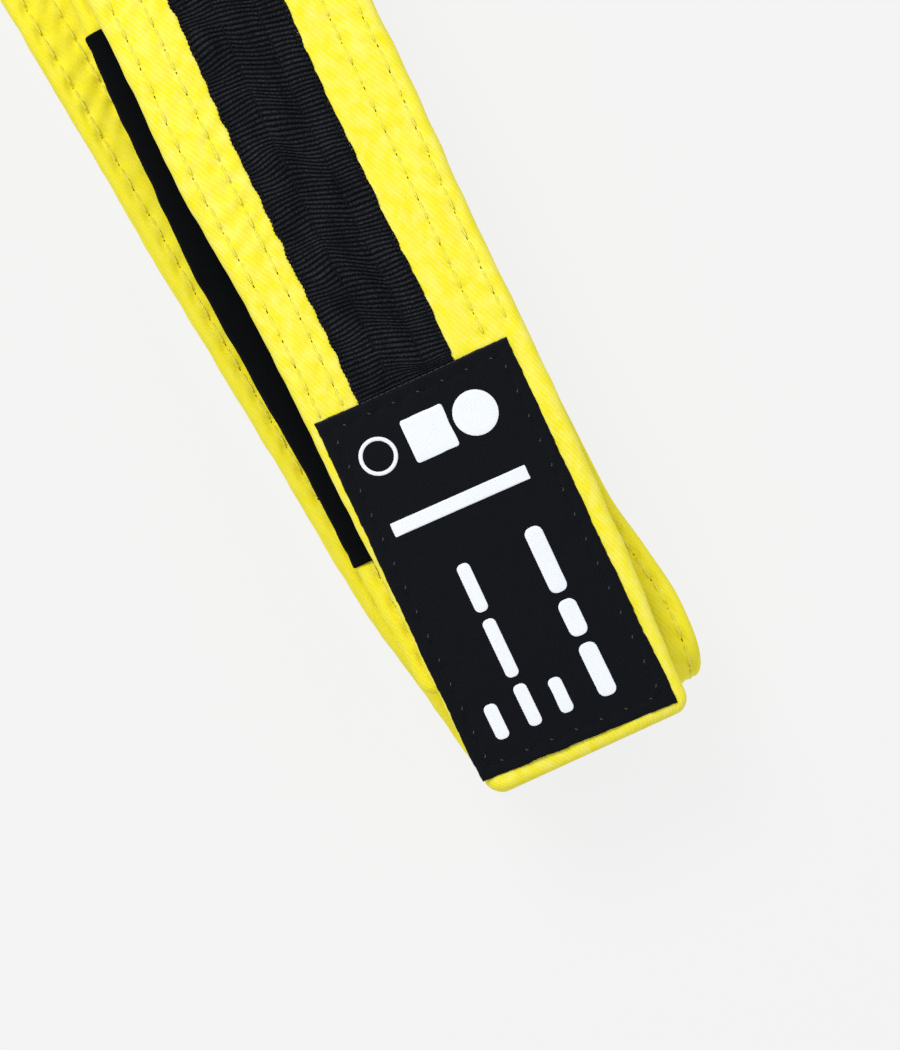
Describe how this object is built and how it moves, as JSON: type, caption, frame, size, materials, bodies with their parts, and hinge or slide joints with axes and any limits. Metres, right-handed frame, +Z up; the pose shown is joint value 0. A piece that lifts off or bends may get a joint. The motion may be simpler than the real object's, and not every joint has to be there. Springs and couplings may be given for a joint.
{
  "type": "martial arts belt",
  "caption": "Folded children's martial arts belt: a padded cotton strap with a ribbon along the middle, a sewn label on one end and a rank bar on the other.",
  "frame": {"origin": "on the floor, under the middle of the folded bundle's box", "axes": "+X along the bundle towards the label end, +Z up out of the top layer, +Y across the strap"},
  "size_m": [0.3772, 0.0688, 0.0323],
  "materials": {
    "yellow_twill": "cotton twill, matt",
    "core_cotton": "undyed cotton, matt",
    "black_ribbon": "ribbed ribbon, slight sheen",
    "yellow_thread": "sewing thread",
    "black_thread": "sewing thread",
    "label_satin": "woven satin",
    "print_white": "matt print",
    "rank_bar_cotton": "plain cotton, matt"
  },
  "bodies": {
    "base": {"base_fold_back_ribbon": "black_ribbon", "base_fold_core": "core_cotton", "base_fold_cover": "yellow_twill", "base_fold_cover_stitching": "yellow_thread", "base_fold_front_ribbon": "black_ribbon", "base_fold_ribbon_stitching": "black_thread"},
    "middle_fold": {"middle_label_strand_back_ribbon": "black_ribbon", "middle_label_strand_core": "core_cotton", "middle_label_strand_cover": "yellow_twill", "middle_label_strand_cover_stitching": "yellow_thread", "middle_label_strand_front_ribbon": "black_ribbon", "middle_label_strand_ribbon_stitching": "black_thread", "middle_rank_strand_back_ribbon": "black_ribbon", "middle_rank_strand_core": "core_cotton", "middle_rank_strand_cover": "yellow_twill", "middle_rank_strand_cover_stitching": "yellow_thread", "middle_rank_strand_front_ribbon": "black_ribbon", "middle_rank_strand_ribbon_stitching": "black_thread"},
    "front_fold": {"front_label_strand_back_ribbon": "black_ribbon", "front_label_strand_core": "core_cotton", "front_label_strand_cover": "yellow_twill", "front_label_strand_cover_stitching": "yellow_thread", "front_label_strand_front_ribbon": "black_ribbon", "front_label_strand_ribbon_stitching": "black_thread", "front_rank_strand_back_ribbon": "black_ribbon", "front_rank_strand_core": "core_cotton", "front_rank_strand_cover": "yellow_twill", "front_rank_strand_cover_stitching": "yellow_thread", "front_rank_strand_front_ribbon": "black_ribbon", "front_rank_strand_ribbon_stitching": "black_thread"},
    "loose_ends": {"loose_label_strand_back_ribbon": "black_ribbon", "loose_label_strand_core": "core_cotton", "loose_label_strand_cover": "yellow_twill", "loose_label_strand_cover_stitching": "yellow_thread", "loose_label_strand_front_ribbon": "black_ribbon", "loose_label_strand_ribbon_stitching": "black_thread", "loose_rank_strand_back_ribbon": "black_ribbon", "loose_rank_strand_core": "core_cotton", "loose_rank_strand_cover": "yellow_twill", "loose_rank_strand_cover_stitching": "yellow_thread", "loose_rank_strand_front_ribbon": "black_ribbon", "loose_rank_strand_ribbon_stitching": "black_thread", "rank_bar": "rank_bar_cotton", "rank_bar_stitching": "black_thread", "rank_tip_stitching": "yellow_thread"},
    "label_end": {"label": "label_satin", "label_end_back_ribbon": "black_ribbon", "label_end_core": "core_cotton", "label_end_cover": "yellow_twill", "label_end_cover_stitching": "yellow_thread", "label_end_front_ribbon": "black_ribbon", "label_end_ribbon_stitching": "black_thread", "label_print": "print_white", "label_stitching": "black_thread"}
  },
  "joints": [
    {"name": "back_fold_hinge", "type": "hinge", "parent": "base", "child": "middle_fold", "pos_m": [0.18653, 0.01156, 0.0105], "axis": [0, 1, 0], "range_deg": [0, 90]},
    {"name": "front_fold_hinge", "type": "hinge", "parent": "middle_fold", "child": "front_fold", "pos_m": [-0.18915, 0.01156, 0.0215], "axis": [0, -1, 0], "range_deg": [0, 180]},
    {"name": "loose_ends_lift", "type": "hinge", "parent": "front_fold", "child": "loose_ends", "pos_m": [0.03856, 0.01156, 0.032], "axis": [0, -1, 0], "range_deg": [0, 90]},
    {"name": "label_end_lift", "type": "hinge", "parent": "loose_ends", "child": "label_end", "pos_m": [0.09616, 0.01156, 0.032], "axis": [0, -1, 0], "range_deg": [0, 90]}
  ]
}
